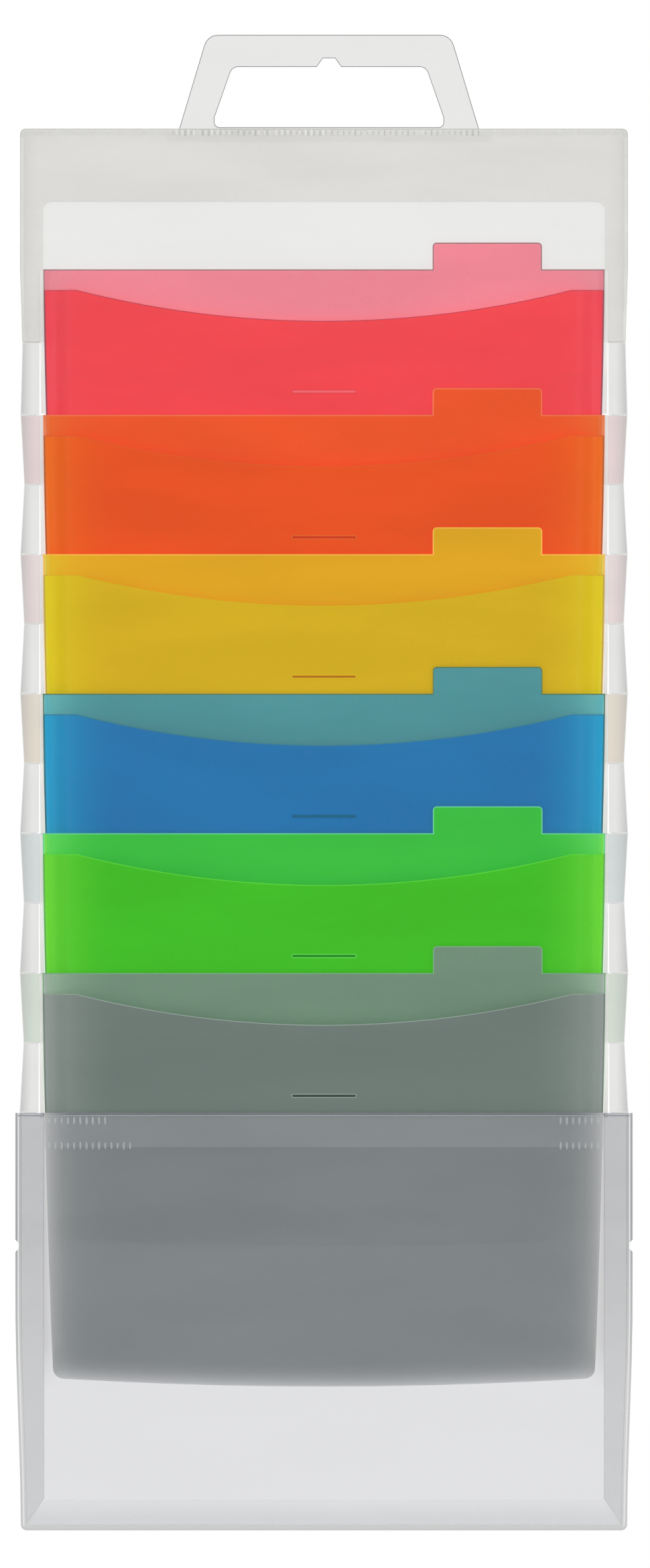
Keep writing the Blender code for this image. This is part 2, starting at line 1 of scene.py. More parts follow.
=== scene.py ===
"""A hanging document organiser of frosted and coloured plastic sheet, dressed over its CAD frame.

Metres, +Z up, the front faces -Y. Drops are measured down from the top edge of the back panel.
"""

import json
import math

import bmesh
import bpy
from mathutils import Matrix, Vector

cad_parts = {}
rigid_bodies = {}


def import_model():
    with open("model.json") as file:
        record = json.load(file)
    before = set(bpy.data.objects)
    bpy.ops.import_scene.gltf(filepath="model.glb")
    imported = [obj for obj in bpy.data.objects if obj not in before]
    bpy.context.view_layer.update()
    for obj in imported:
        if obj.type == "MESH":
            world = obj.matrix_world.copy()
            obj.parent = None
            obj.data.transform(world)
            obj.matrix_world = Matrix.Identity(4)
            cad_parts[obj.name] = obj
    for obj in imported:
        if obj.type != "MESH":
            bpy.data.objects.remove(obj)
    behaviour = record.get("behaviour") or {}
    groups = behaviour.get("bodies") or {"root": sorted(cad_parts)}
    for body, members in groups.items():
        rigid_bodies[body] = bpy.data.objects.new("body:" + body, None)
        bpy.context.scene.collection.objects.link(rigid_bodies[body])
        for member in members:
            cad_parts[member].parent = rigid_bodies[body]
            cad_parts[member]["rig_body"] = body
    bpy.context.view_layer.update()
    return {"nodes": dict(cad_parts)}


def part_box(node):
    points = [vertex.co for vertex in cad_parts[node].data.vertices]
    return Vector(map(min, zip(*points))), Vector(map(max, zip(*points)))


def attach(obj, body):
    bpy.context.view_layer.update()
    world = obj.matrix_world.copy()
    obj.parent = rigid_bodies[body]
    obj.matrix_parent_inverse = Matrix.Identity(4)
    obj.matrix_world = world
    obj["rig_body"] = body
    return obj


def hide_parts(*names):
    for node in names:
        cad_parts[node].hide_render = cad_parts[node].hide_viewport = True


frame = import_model()


# Where the photograph was taken from: straight in front, far away and level, with the object's
# middle a little left of the frame's. 12 m away, the sheets at the front look no larger than they are.
PANEL_TOP = -0.042
MIDDLE = -0.003
SEEN_HEIGHT = 0.9356
CAMERA_AWAY = 12.0

camera = bpy.data.objects.new("photo_camera", bpy.data.cameras.new("photo_camera"))
camera.location = (MIDDLE + 0.0006, -CAMERA_AWAY, PANEL_TOP - 0.391)
camera.rotation_euler = (math.pi / 2, 0, 0)
camera.data.lens = camera.data.sensor_width * CAMERA_AWAY / SEEN_HEIGHT
camera.data.clip_end = 60
bpy.context.scene.collection.objects.link(camera)
bpy.context.scene.camera = camera
bpy.context.scene.view_settings.view_transform = "Standard"


# The studio: an even white surround, two soft boxes in front, a weaker one behind for the wall side,
# and a small pale floor below the object. Many sheets lie behind each other, so rays pass through many.
SURROUND_LIGHT = 0.56
MATH = "ShaderNodeMath"
SOFT_BOXES = (
    ("key_box", (2.2, -3.9, 0.7), 54.0),
    ("fill_box", (-2.2, -3.9, 0.2), 36.0),
    ("wall_side_box", (0.8, 4.0, 1.0), 60.0),
)


def add_node(tree, kind, *inputs, **properties):
    """Adds a node with its settings, links or sets its inputs in order, and returns its first output."""
    made = tree.nodes.new(kind)
    for name, value in properties.items():
        setattr(made, name, value)
    for socket, value in zip(made.inputs, inputs):
        for item in value if isinstance(value, list) else [value]:
            if isinstance(item, bpy.types.NodeSocket):
                tree.links.new(item, socket)
            elif item is not None:
                socket.default_value = item
    return made.outputs[0] if made.outputs else made


surround = bpy.data.worlds.new("white_surround")
surround.use_nodes = True
tree = surround.node_tree
tree.nodes.clear()
light_path = add_node(tree, "ShaderNodeLightPath").node.outputs
seen = add_node(tree, MATH, light_path["Is Camera Ray"], light_path["Is Glossy Ray"], operation="MAXIMUM")
seen = add_node(tree, MATH, seen, light_path["Is Transmission Ray"], operation="MAXIMUM")
strength = add_node(tree, "ShaderNodeMapRange", seen, 0, 1, SURROUND_LIGHT, 1)
white = add_node(tree, "ShaderNodeBackground", (1, 1, 1, 1), strength)
add_node(tree, "ShaderNodeOutputWorld", white)
bpy.context.scene.world = surround
bpy.context.scene.cycles.transparent_max_bounces = 64
bpy.context.scene.cycles.max_bounces = 16

for name, place, power in SOFT_BOXES:
    lamp = bpy.data.lights.new(name, "AREA")
    lamp.shape = "RECTANGLE"
    lamp.size, lamp.size_y = 2.4, 3.0
    lamp.energy = power
    box = bpy.data.objects.new(name, lamp)
    box.location = place
    aim = camera.location * 0
    aim.z = PANEL_TOP - 0.4
    box.rotation_euler = (aim - box.location).to_track_quat("-Z", "Y").to_euler()
    bpy.context.scene.collection.objects.link(box)


def linear(hex_colour):
    """sRGB hex to a linear RGBA colour."""
    channels = [int(hex_colour[i : i + 2], 16) / 255 for i in (0, 2, 4)]
    return (*[c / 12.92 if c <= 0.04045 else ((c + 0.055) / 1.055) ** 2.4 for c in channels], 1)


floor_finish = bpy.data.materials.new("matt_white_board")
floor_finish.use_nodes = True
tree = floor_finish.node_tree
tree.nodes["Principled BSDF"].inputs["Base Color"].default_value = linear("ececec")
tree.nodes["Principled BSDF"].inputs["Roughness"].default_value = 0.9
build = bmesh.new()
bmesh.ops.create_grid(build, x_segments=1, y_segments=1, size=0.6)
bmesh.ops.translate(build, verts=build.verts, vec=(MIDDLE, 0, -0.965))
floor_mesh = bpy.data.meshes.new("studio_floor")
build.to_mesh(floor_mesh)
build.free()
floor_mesh.materials.append(floor_finish)
studio_floor = bpy.data.objects.new("studio_floor", floor_mesh)
bpy.context.scene.collection.objects.link(studio_floor)


# Back panel: 0.8 mm frosted polypropylene, extruded and cut out with a steel-rule die. The die presses
# the rim over a little, and a darker colour on the rim paints the cut edge's thin line as shade. Its foot
# hangs free behind pocket 1.
RIM = 0.0004
PRESS = 0.00012
# Axis across which a finish turns to its side colour, where it starts and ends, and the curve's power
# On the pockets the side colour is painted light: each sheet grows lighter towards its sides
POCKET_TURNS = (0, 0.118, 0.1665, 2.4)
CLOUD_STRETCH = (9, 9, 38)
CLOUD_SLANT = math.radians(28)
GRAIN_SCALE = 1250.0
WAVE_SCALE = 16.0


def sheet_finish(name, colour, opacity, side=None, turns=POCKET_TURNS, roughness=0.45, ripple=0.0003):
    """Extruded polypropylene: semi-gloss under a fine matt grain, see-through, with faint cloudy streaks
    along the extrusion. Between two distances from the middle on an axis, it turns to its side colour,
    which some finishes use for painted light and shade."""
    finish = bpy.data.materials.new(name)
    finish.use_nodes = True
    tree = finish.node_tree
    shader = tree.nodes["Principled BSDF"]
    place = add_node(tree, "ShaderNodeTexCoord").node.outputs["Object"]
    slanted = add_node(tree, "ShaderNodeMapping", place, None, (0, CLOUD_SLANT, 0), CLOUD_STRETCH)
    cloud = add_node(tree, "ShaderNodeTexNoise", slanted, None, 1.0, 3.0, 0.5)
    deep = tuple(c * 0.93 for c in linear(colour)[:3]) + (1,)
    tone = add_node(tree, "ShaderNodeMapRange", cloud, 0.35, 0.65, 0, 1)
    mixer = add_node(tree, "ShaderNodeMix", data_type="RGBA").node
    tree.links.new(tone, mixer.inputs["Factor"])
    mixer.inputs[6].default_value = deep
    mixer.inputs[7].default_value = linear(colour)
    body_colour = mixer.outputs[2]
    # Painted light and shade: lightens the pockets towards their sides, darkens the cover flanges' tops
    if side:
        axis, start, end, power = turns
        across = add_node(tree, "ShaderNodeSeparateXYZ", place).node.outputs[axis]
        off_middle = add_node(tree, MATH, across, (-MIDDLE, 0, 0)[axis], operation="ADD")
        off_middle = add_node(tree, MATH, off_middle, operation="ABSOLUTE")
        leak = add_node(tree, "ShaderNodeMapRange", off_middle, start, end, 0, 1)
        leak = add_node(tree, MATH, leak, power, operation="POWER")
        lit = add_node(tree, "ShaderNodeMix", data_type="RGBA").node
        tree.links.new(leak, lit.inputs["Factor"])
        tree.links.new(body_colour, lit.inputs[6])
        lit.inputs[7].default_value = linear(side)
        body_colour = lit.outputs[2]
    tree.links.new(body_colour, shader.inputs["Base Color"])
    # The grain is drawn at 0.8 mm, the finest that shows
    grain = add_node(tree, "ShaderNodeTexNoise", place, None, GRAIN_SCALE, 2.0, 0.5)
    waves = add_node(tree, "ShaderNodeTexNoise", place, None, WAVE_SCALE, 1.0, 0.4)
    grainy = add_node(tree, "ShaderNodeMapRange", grain, 0.3, 0.7, roughness - 0.05, roughness + 0.05)
    tree.links.new(grainy, shader.inputs["Roughness"])
    height = add_node(tree, MATH, waves, 12.0, grain, operation="MULTIPLY_ADD")
    bump = add_node(tree, "ShaderNodeBump").node
    bump.inputs["Strength"].default_value = 0.35
    bump.inputs["Distance"].default_value = ripple
    tree.links.new(height, bump.inputs["Height"])
    tree.links.new(bump.outputs[0], shader.inputs["Normal"])
    shader.inputs["Alpha"].default_value = opacity
    shader.inputs["IOR"].default_value = 1.49
    shader.inputs["Specular IOR Level"].default_value = 0.25
    return finish


def die_cut(node, name, skin, edge, rim=RIM):
    """A copy of a flat CAD sheet with a pressed rim: its front skin, its clear rear skin and its edge."""
    build = bmesh.new()
    build.from_mesh(frame["nodes"][node].data)
    bmesh.ops.remove_doubles(build, verts=build.verts, dist=1e-6)
    flat = math.radians(0.05)
    bmesh.ops.dissolve_limit(build, angle_limit=flat, verts=build.verts, edges=build.edges)
    walls = {vert for face in build.faces if abs(face.normal.y) < 0.4 for vert in face.verts}
    build.normal_update()
    for face in build.faces:
        face.material_index = 2
    for side, index in ((-1, 0), (1, 1)):
        skin_faces = [face for face in build.faces if face.normal.y * side > 0.6]
        bmesh.ops.inset_region(
            build, faces=skin_faces, thickness=rim, use_boundary=True, use_even_offset=True
        )
        for face in skin_faces:
            face.material_index = index
    for vert in walls:
        lean = vert.normal.y
        vert.co.y -= math.copysign(PRESS, lean) if abs(lean) > 0.1 else 0
    mesh = bpy.data.meshes.new(name)
    build.to_mesh(mesh)
    build.free()
    for finish in (skin, rear_skin, edge):
        mesh.materials.append(finish)
    piece = bpy.data.objects.new(name, mesh)
    bpy.context.scene.collection.objects.link(piece)
    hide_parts(node)
    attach(piece, frame["nodes"][node]["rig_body"])
    return piece


# The rear face of every sheet, calendered smoother than the front: it hardly shows but for its gloss
rear_skin = sheet_finish("calendered_rear_face", "f2f4f2", 0.05, roughness=0.35)
STRIP_TURNS = (0, 0.1700, 0.1812, 1.5)
frosted_panel = sheet_finish("frosted_polypropylene_panel", "d3d4ce", 0.40, "b8bab6", STRIP_TURNS)
# Painted shade: the darker rim colour draws the cut edge's thin line
frosted_edge_shade = sheet_finish("frosted_polypropylene_cut_edge", "a6a9a6", 0.45, roughness=0.3)
die_cut("back_panel", "back_panel_sheet", frosted_panel, frosted_edge_shade)


# Gusset frame: a second frosted sheet on the back panel, with a die-cut window. Both sheets are sealed
# together along the top and down the sides by a heated bar, which leaves a pale, raised bead.
FRAME_FRONT = -0.00155
BEADS = (
    # piece, half width of the bead, ends of its runs as (x from the middle, drop)
    ("top_seal", 0.0014, [((-0.1785, 0.0024), (0.1785, 0.0024))]),
    ("side_seals", 0.0009, [
        ((side * 0.1802, 0.0052), (side * 0.1802, 0.084), (side * 0.1793, 0.1268)) for side in (-1, 1)
    ]),
)

# Painted highlight: the pale colour on the frame's and strips' cut edges
edge_highlight = sheet_finish("frosted_gusset_cut_edge", "dcdedb", 0.35, roughness=0.3)
frosted_frame = sheet_finish("frosted_polypropylene_frame", "dedad4", 0.40, "c2c0ba", STRIP_TURNS)
die_cut("gusset_frame", "gusset_frame_sheet", frosted_frame, edge_highlight)


def new_tree(name, sizes):
    """An empty tree with a geometry input and output, and a named input for each size."""
    tree = bpy.data.node_groups.new(name, "GeometryNodeTree")
    tree.interface.new_socket("Geometry", in_out="INPUT", socket_type="NodeSocketGeometry")
    tree.interface.new_socket("Geometry", in_out="OUTPUT", socket_type="NodeSocketGeometry")
    for label, kind in sizes.items():
        tree.interface.new_socket(label, in_out="INPUT", socket_type=f"NodeSocket{kind}")
    return tree


def grow(name, tree, sizes, path=None):
    """Runs a tree on a new object with these sizes, and keeps the result as a plain mesh."""
    piece = bpy.data.objects.new(name, path or bpy.data.meshes.new(name))
    bpy.context.scene.collection.objects.link(piece)
    modifier = piece.modifiers.new(tree.name, "NODES")
    modifier.node_group = tree
    for item in tree.interface.items_tree:
        if item.name in sizes:
            modifier[item.identifier] = sizes[item.name]
    shown = piece.evaluated_get(bpy.context.evaluated_depsgraph_get())
    mesh = bpy.data.meshes.new_from_object(shown)
    piece.modifiers.remove(modifier)
    build = bmesh.new()
    build.from_mesh(mesh)
    bmesh.ops.dissolve_degenerate(build, edges=build.edges, dist=1e-6)
    flat = math.radians(0.02)
    bmesh.ops.dissolve_limit(
        build, angle_limit=flat, verts=build.verts, edges=build.edges, delimit={"MATERIAL"}
    )
    build.to_mesh(mesh)
    build.free()
    piece.data = mesh
    mesh.name = name
    return piece


def add_piece(piece, body, smooth=math.radians(40)):
    """A grown piece that rides on a body, shaded smooth up to this angle."""
    piece.data.shade_smooth()
    piece.data.set_sharp_from_angle(angle=smooth)
    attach(piece, body)
    return piece


def run_path(name, runs, y, top):
    """Edges through each run's points, at this depth, for a tree that follows them."""
    mesh = bpy.data.meshes.new(name)
    points = [(MIDDLE + x, y, top - drop) for run in runs for x, drop in run]
    edges, start = [], 0
    for run in runs:
        edges += [(start + step, start + step + 1) for step in range(len(run) - 1)]
        start += len(run)
    mesh.from_pydata(points, edges, [])
    return mesh


bead_tree = new_tree("pressed bead", {
    "Half Width": "Float", "Flatness": "Float", "Depth": "Float", "Finish": "Material",
})
size = add_node(bead_tree, "NodeGroupInput").node.outputs
route = add_node(bead_tree, "GeometryNodeMeshToCurve", size["Geometry"])
section = add_node(bead_tree, "GeometryNodeCurvePrimitiveCircle", 12, None, None, None, size["Half Width"])
bead = add_node(bead_tree, "GeometryNodeCurveToMesh", route, section)
bead.node.inputs["Fill Caps"].default_value = True
flatten = add_node(bead_tree, "ShaderNodeCombineXYZ", 1, size["Flatness"], 1)
seat = add_node(bead_tree, "ShaderNodeCombineXYZ", 0, size["Depth"], 0)
bead = add_node(bead_tree, "GeometryNodeTransform", bead, seat, None, flatten)
bead = add_node(bead_tree, "GeometryNodeRealizeInstances", bead)
bead = add_node(bead_tree, "GeometryNodeSetMaterial", bead, None, size["Finish"])
add_node(bead_tree, "NodeGroupOutput", bead)

sealed_bead = sheet_finish("heat_sealed_bead", "f6f6f2", 0.5, roughness=0.3)
for name, half_width, runs in BEADS:
    path = run_path(name, runs, 0, PANEL_TOP)
    bead = grow(name, bead_tree, {
        "Half Width": half_width, "Flatness": 0.12, "Depth": FRAME_FRONT, "Finish": sealed_bead,
    }, path)
    add_piece(bead, "back")


# Handle: 1.5 mm polypropylene, die-cut, with a finger opening and a notch to hang it by. Its foot lies
# between the panel and the frame, under a row of pale weld ticks and dark ticks painted as their shadows.
# Its cut edge is painted dark as shade.
handle_sheet = sheet_finish("die_cut_handle_sheet", "c8c9c5", 0.38)
handle_foot = sheet_finish("fused_handle_foot", "a8aaa6", 0.10)
# Painted shade: the dark colour on the handle's cut edge
handle_edge_shade = sheet_finish("die_cut_handle_edge", "7f8381", 0.7, roughness=0.3)
handle = die_cut("handle", "carry_handle", handle_sheet, handle_edge_shade)
build = bmesh.new()
build.from_mesh(handle.data)
whole = build.verts[:] + build.edges[:] + build.faces[:]
bmesh.ops.bisect_plane(build, geom=whole, plane_co=(0, 0, PANEL_TOP), plane_no=(0, 0, 1))
for face in build.faces:
    if face.calc_center_median().z < PANEL_TOP:
        face.material_index = 1 if face.normal.y > 0.5 else 3
build.to_mesh(handle.data)
build.free()
handle.data.materials.append(handle_foot)

tick_tree = new_tree("row of weld ticks", {
    "Count": "Int", "Pitch": "Float", "Start": "Vector", "Width": "Float", "Length": "Float",
    "Rise": "Float", "Raggedness": "Float", "Gaps": "Float", "Seed": "Int", "Finish": "Material",
})
size = add_node(tick_tree, "NodeGroupInput").node.outputs
step = add_node(tick_tree, "ShaderNodeCombineXYZ", size["Pitch"])
row = add_node(tick_tree, "GeometryNodeMeshLine", size["Count"], None, size["Start"], step)
tick = add_node(tick_tree, "GeometryNodeMeshUVSphere", 8, 6, 0.5)
shape = add_node(tick_tree, "ShaderNodeCombineXYZ", size["Width"], size["Rise"], size["Length"])
least = add_node(tick_tree, MATH, 1, size["Raggedness"], operation="SUBTRACT")
ragged = add_node(tick_tree, "FunctionNodeRandomValue", data_type="FLOAT").node
tick_tree.links.new(least, ragged.inputs[2])
ragged.inputs[3].default_value = 1
tick_tree.links.new(size["Seed"], ragged.inputs["Seed"])
shape = add_node(tick_tree, "ShaderNodeVectorMath", shape, None, None, ragged.outputs[1], operation="SCALE")
kept = add_node(tick_tree, "FunctionNodeRandomValue", data_type="BOOLEAN").node
share = add_node(tick_tree, MATH, 1, size["Gaps"], operation="SUBTRACT")
tick_tree.links.new(share, kept.inputs["Probability"])
tick_tree.links.new(size["Seed"], kept.inputs["Seed"])
row = add_node(tick_tree, "GeometryNodeInstanceOnPoints", row, kept.outputs[3], tick, None, None, None, shape)
row = add_node(tick_tree, "GeometryNodeRealizeInstances", row)
row = add_node(tick_tree, "GeometryNodeSetMaterial", row, None, size["Finish"])
add_node(tick_tree, "NodeGroupOutput", row)

pale_weld = sheet_finish("ultrasonic_weld_pale", "ffffff", 0.8, roughness=0.25)
faint_weld = sheet_finish("ultrasonic_weld_faint", "ffffff", 0.2, roughness=0.25)
# Painted shadows: dark ticks just below the pale ones
tick_shadow_finish = sheet_finish("ultrasonic_weld_painted_shadow", "8d8f8b", 0.12, roughness=0.25)
seal_print = sheet_finish("sealing_bar_print", "ffffff", 0.2, roughness=0.25)
TICK_SEAT, TICK_RISE = 0.0002, 0.0003
# In the photograph, the ticks are strong at the left and faint past the middle
for name, finish, start_x, drop, count, width, length, seed in (
    ("handle_weld_ticks_left", pale_weld, -0.0915, 0.0023, 27, 0.0014, 0.0042, 3),
    ("handle_weld_ticks_right", faint_weld, 0.0030, 0.0023, 26, 0.0014, 0.0042, 7),
    ("handle_weld_shadows", tick_shadow_finish, -0.0898, 0.0026, 53, 0.0012, 0.0042, 8),
    ("top_seal_print", seal_print, -0.1750, 0.0024, 101, 0.0013, 0.0026, 4),
):
    start = (MIDDLE + start_x, FRAME_FRONT - TICK_SEAT, PANEL_TOP - drop)
    ticks = grow(name, tick_tree, {
        "Count": count, "Pitch": 0.0035, "Start": start, "Width": width, "Length": length,
        "Rise": TICK_RISE, "Raggedness": 0.55, "Gaps": 0.06, "Seed": seed, "Finish": finish,
    })
    add_piece(ticks, "back")


# Pockets: coloured 0.6 mm sheet. Each has a back sheet with an index tab on its upper edge, and a front
# sheet with a scooped mouth and a short slot, seamed to the back sheet at its sides and bottom.
POCKET_TOPS = [0.084] + [0.171 + 0.0831 * step for step in range(5)]
COVER_TOP = PANEL_TOP - 0.5865
FIRST_POCKET_REAR = -0.00185
STAGE_DEPTH = 0.0072
POCKET_FINISHES = (
    # colour; hex of its back, back at the side, front, front at the side (the side colours are painted
    # light), upper edge of the back, mouth edge of the front, side edge of the front (painted highlights
    # and shade lines on the cut edges), slot tongue (painted shade in the slot) and slot lip (painted
    # highlight)
    ("pink", "fb6a83", "eb6f84", "f9353e", "f53b4c", "a67e83", "cc4656", "a8505e", "ff7680", "f2525c"),
    ("orange", "f35800", "ee6f0f", "ef5200", "f27100", "f4804c", "e65f20", "b8642e", "d83a10", "f07830"),
    ("yellow", "e3b900", "e8cd1a", "dab900", "e5d500", "ffc850", "dcbc10", "c8b450", "b87a00", "f0cc20"),
    ("blue", "0098ac", "40b9ca", "0074b8", "00a5d6", "608458", "2f80a4", "2f7f96", "1a6c90", "2080b4"),
    ("green", "37d100", "69eb3c", "3dc600", "70df2a", "6edc9e", "5ee03a", "70b850", "008a00", "70f060"),
    ("grey", "7b8e86", "a5b5ad", "717d79", "979e9c", "7eb482", "98a8a0", "858b89", "2c4034", "a4b4aa"),
)
BACK_OPACITY = 0.82
FRONT_OPACITY = 0.86
EDGE_OPACITY = 0.9
POCKET_RIM = 0.0007
POCKET_HEIGHT = 0.241
POCKET_BOW = 0.005
POCKET_DRAW_POWER = 1.4
POCKET_FOOT_HALF_WIDTH = 0.1613
PALE_REACH = 0.030
PALE_POWER = 5
PALE_RIM_SHARE = 0.35


def pale_foot(finish, rim_share):
    """Pales a sheet towards its foot, and its rims below the cover's edge by a share, as painted light.
    It stands in for the blur in the photograph, which a see-through finish doesn't give to what hangs
    behind it."""
    tree = finish.node_tree
    shader = tree.nodes["Principled BSDF"]
    place = add_node(tree, "ShaderNodeTexCoord").node.outputs["Object"]
    axes = add_node(tree, "ShaderNodeSeparateXYZ", place).node.outputs
    off = add_node(tree, MATH, axes[0], -MIDDLE, operation="ADD")
    off = add_node(tree, MATH, off, 1 / POCKET_FOOT_HALF_WIDTH, operation="MULTIPLY")
    bow = add_node(tree, MATH, off, 2, operation="POWER")
    lowest = PANEL_TOP - POCKET_TOPS[5] - POCKET_HEIGHT - POCKET_BOW
    foot = add_node(tree, MATH, bow, POCKET_BOW, lowest, operation="MULTIPLY_ADD")
    above = add_node(tree, MATH, axes[2], foot, operation="SUBTRACT")
    pale = add_node(tree, "ShaderNodeMapRange", above, PALE_REACH, 0, 0, 1)
    pale = add_node(tree, MATH, pale, PALE_POWER, operation="POWER")
    below = add_node(tree, MATH, axes[2], COVER_TOP, operation="LESS_THAN")
    rim = add_node(tree, MATH, below, rim_share, operation="MULTIPLY")
    share = add_node(tree, MATH, pale, rim, operation="MAXIMUM")
    mixed = add_node(tree, "ShaderNodeMix", data_type="RGBA").node
    tree.links.new(share, mixed.inputs["Factor"])
    tree.links.new(shader.inputs["Base Color"].links[0].from_socket, mixed.inputs[6])
    mixed.inputs[7].default_value = linear("f2f2f2")
    tree.links.new(mixed.outputs[2], shader.inputs["Base Color"])


coloured = {}
for stage, row in enumerate(POCKET_FINISHES, 1):
    colour, back, back_side_light, front, front_side_light, top, mouth, side, shaded_tongue, lip_highlight = row
    name = f"{colour}_polypropylene"
    back_finish = sheet_finish(f"{name}_back", back, BACK_OPACITY, back_side_light)
    # Painted highlights and shade lines: the upper, mouth and side edge colours
    top_edge = sheet_finish(f"{name}_upper_edge", top, EDGE_OPACITY, roughness=0.3)
    coloured[stage] = {
        "Skin": sheet_finish(f"{name}_front", front, FRONT_OPACITY, front_side_light),
        "Mouth Edge": sheet_finish(f"{name}_mouth_edge", mouth, EDGE_OPACITY, roughness=0.3),
        "Side Edge": sheet_finish(f"{name}_side_edge", side, EDGE_OPACITY, roughness=0.3),
        # Painted shade in the slot: the tongue's deep colour, lighter on the pink
        "Shaded Tongue": sheet_finish(f"{name}_slot_tongue", shaded_tongue, 1.0),
        # Painted highlight: the lip's pale colour round the slot
        "Lip Highlight": sheet_finish(f"{name}_slot_lip", lip_highlight, 0.5, roughness=0.3),
    }
    if stage == 6:
        pale_foot(top_edge, PALE_RIM_SHARE)
        pale_foot(coloured[stage]["Skin"], 0)
        pale_foot(coloured[stage]["Mouth Edge"], 0)
        pale_foot(coloured[stage]["Side Edge"], PALE_RIM_SHARE)
    node, name, slot = f"pocket_{stage}_back", f"{colour}_back_sheet", f"{colour}_sheet"
    piece = die_cut(node, name, back_finish, top_edge, POCKET_RIM)
    piece.visible_shadow = False


front_tree = new_tree("scooped pocket front", {
    "Half Width": "Float", "Height": "Float", "Draw In": "Float", "Draw Power": "Float",
    "Bow": "Float", "Foot Corner": "Float", "Front Drop": "Float", "Inset": "Float",
    "Scoop Radius": "Float", "Scoop Flat": "Float", "Seam": "Float", "Swell": "Float",
    "Room": "Float", "Lay Gap": "Float", "Thickness": "Float", "Place": "Vector",
    "Slot Drop": "Float", "Slot Length": "Float", "Slot Height": "Float",
    "Skin": "Material", "Rear Skin": "Material", "Mouth Edge": "Material", "Side Edge": "Material",
    "Shaded Tongue": "Material", "Lip Highlight": "Material",
})
size = add_node(front_tree, "NodeGroupInput").node.outputs
COLUMNS, ROWS = 96, 64
grid = add_node(front_tree, "GeometryNodeMeshGrid", 2, 1, COLUMNS + 1, ROWS + 1)
spot = add_node(front_tree, "GeometryNodeInputPosition")
ends = add_node(front_tree, "ShaderNodeSeparateXYZ", spot).node.outputs
# The pressed rim: 1 on the two outer rows of faces, 2 or more on the three outer columns
off_x = add_node(front_tree, MATH, ends[0], operation="ABSOLUTE")
off_x = add_node(front_tree, MATH, off_x, 1 - 6 / COLUMNS, operation="GREATER_THAN")
off_y = add_node(front_tree, MATH, ends[1], operation="ABSOLUTE")
off_y = add_node(front_tree, MATH, off_y, 0.5 - 2 / ROWS, operation="GREATER_THAN")
rim = add_node(front_tree, MATH, off_x, 2, off_y, operation="MULTIPLY_ADD")
store = add_node(
    front_tree, "GeometryNodeStoreNamedAttribute", grid, None, "cut_edge", rim,
    data_type="FLOAT", domain="FACE",
)
# Columns stand close together at the sides, and rows at the mouth and the bottom
share = add_node(front_tree, MATH, ends[0], math.pi / 2, operation="MULTIPLY")
share = add_node(front_tree, MATH, share, operation="SINE")
down = add_node(front_tree, MATH, ends[1], math.pi, operation="MULTIPLY")
down = add_node(front_tree, MATH, down, operation="SINE")
down = add_node(front_tree, MATH, down, 0.5, 0.5, operation="MULTIPLY_ADD")
half = add_node(front_tree, MATH, size["Half Width"], size["Inset"], operation="SUBTRACT")
start_x = add_node(front_tree, MATH, share, half, operation="MULTIPLY")
# The mouth: flat at its ends, then the arc of a circle
squared = add_node(front_tree, MATH, start_x, start_x, operation="MULTIPLY")
radius_squared = add_node(front_tree, MATH, size["Scoop Radius"], size["Scoop Radius"], operation="MULTIPLY")
arc = add_node(front_tree, MATH, radius_squared, squared, operation="SUBTRACT")
arc = add_node(front_tree, MATH, arc, operation="SQRT")
arc = add_node(front_tree, MATH, arc, size["Scoop Flat"], operation="SUBTRACT")
arc = add_node(front_tree, MATH, arc, 0, operation="MAXIMUM")
mouth = add_node(front_tree, MATH, arc, size["Front Drop"], operation="ADD")
# The bottom: bowed, with round corners
bow = add_node(front_tree, MATH, share, share, operation="MULTIPLY")
bow = add_node(front_tree, MATH, 1, bow, operation="SUBTRACT")
bow = add_node(front_tree, MATH, bow, size["Bow"], size["Height"], operation="MULTIPLY_ADD")
reach = add_node(front_tree, MATH, start_x, operation="ABSOLUTE")
reach = add_node(front_tree, MATH, reach, half, operation="SUBTRACT")
reach = add_node(front_tree, MATH, reach, size["Foot Corner"], operation="ADD")
reach = add_node(front_tree, MATH, reach, 0, operation="MAXIMUM")
reach = add_node(front_tree, MATH, reach, reach, operation="MULTIPLY")
corner = add_node(front_tree, MATH, size["Foot Corner"], size["Foot Corner"], operation="MULTIPLY")
corner = add_node(front_tree, MATH, corner, reach, operation="SUBTRACT")
corner = add_node(front_tree, MATH, corner, 0, operation="MAXIMUM")
corner = add_node(front_tree, MATH, corner, operation="SQRT")
corner = add_node(front_tree, MATH, corner, size["Foot Corner"], operation="SUBTRACT")
foot = add_node(front_tree, MATH, bow, corner, operation="ADD")
foot = add_node(front_tree, MATH, foot, size["Inset"], operation="SUBTRACT")
# Each point's drop, its half width there, and its stand-off from the back sheet
fall = add_node(front_tree, MATH, foot, mouth, operation="SUBTRACT")
drop = add_node(front_tree, MATH, fall, down, mouth, operation="MULTIPLY_ADD")
taper = add_node(front_tree, MATH, drop, size["Height"], operation="DIVIDE")
taper = add_node(front_tree, MATH, taper, size["Draw Power"], operation="POWER")
taper = add_node(front_tree, MATH, taper, size["Draw In"], operation="MULTIPLY")
row_half = add_node(front_tree, MATH, half, taper, operation="SUBTRACT")
x = add_node(front_tree, MATH, share, row_half, operation="MULTIPLY")
to_side = add_node(front_tree, MATH, x, operation="ABSOLUTE")
to_side = add_node(front_tree, MATH, row_half, to_side, operation="SUBTRACT")
to_foot = add_node(front_tree, MATH, foot, drop, operation="SUBTRACT")
seam_end = add_node(front_tree, MATH, size["Seam"], size["Swell"], operation="ADD")
